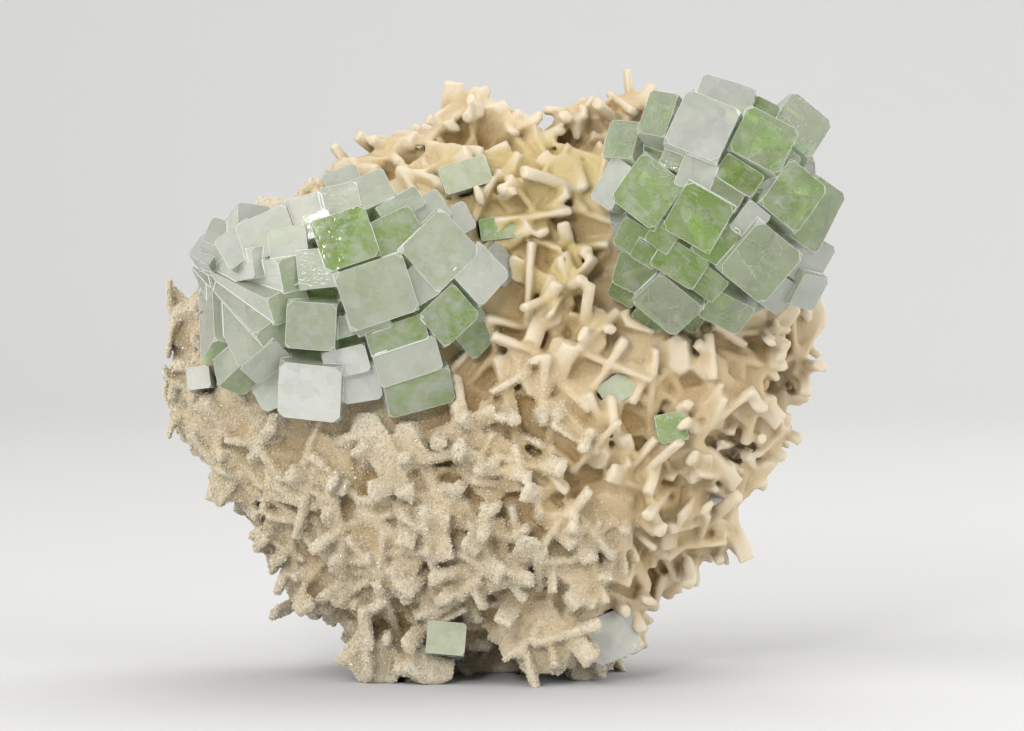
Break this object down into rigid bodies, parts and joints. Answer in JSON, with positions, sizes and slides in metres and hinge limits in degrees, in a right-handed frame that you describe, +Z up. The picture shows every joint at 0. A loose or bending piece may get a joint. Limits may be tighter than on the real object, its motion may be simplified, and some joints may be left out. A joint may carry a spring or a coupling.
{
  "type": "fluorapophyllite specimen on stilbite",
  "caption": "Hand-sized mineral specimen: clusters of stepped green block crystals grown on a mass of cream bladed stilbite, standing on its broken foot.",
  "frame": {"origin": "under the middle of the specimen's box, on the surface it stands on", "axes": "+Z up, +X to the specimen's right as a viewer in front sees it, front with the crystals towards -Y"},
  "size_m": [0.1138, 0.0624, 0.1018],
  "materials": {
    "stilbite_cream": "waxy to sugary",
    "apophyllite_green": "clear, vitreous",
    "apophyllite_milky": "milky, vitreous to pearly"
  },
  "bodies": {
    "root": {"stilbite_matrix": "stilbite_cream", "apophyllite_ball": "apophyllite_green", "apophyllite_spray": "apophyllite_milky", "apophyllite_single_top": "apophyllite_milky", "apophyllite_single_crevice": "apophyllite_milky", "apophyllite_single_left": "apophyllite_milky", "apophyllite_single_centre": "apophyllite_milky", "apophyllite_single_right": "apophyllite_milky", "apophyllite_single_edge": "apophyllite_milky", "apophyllite_single_foot": "apophyllite_milky", "apophyllite_single_corner": "apophyllite_milky"}
  },
  "joints": []
}
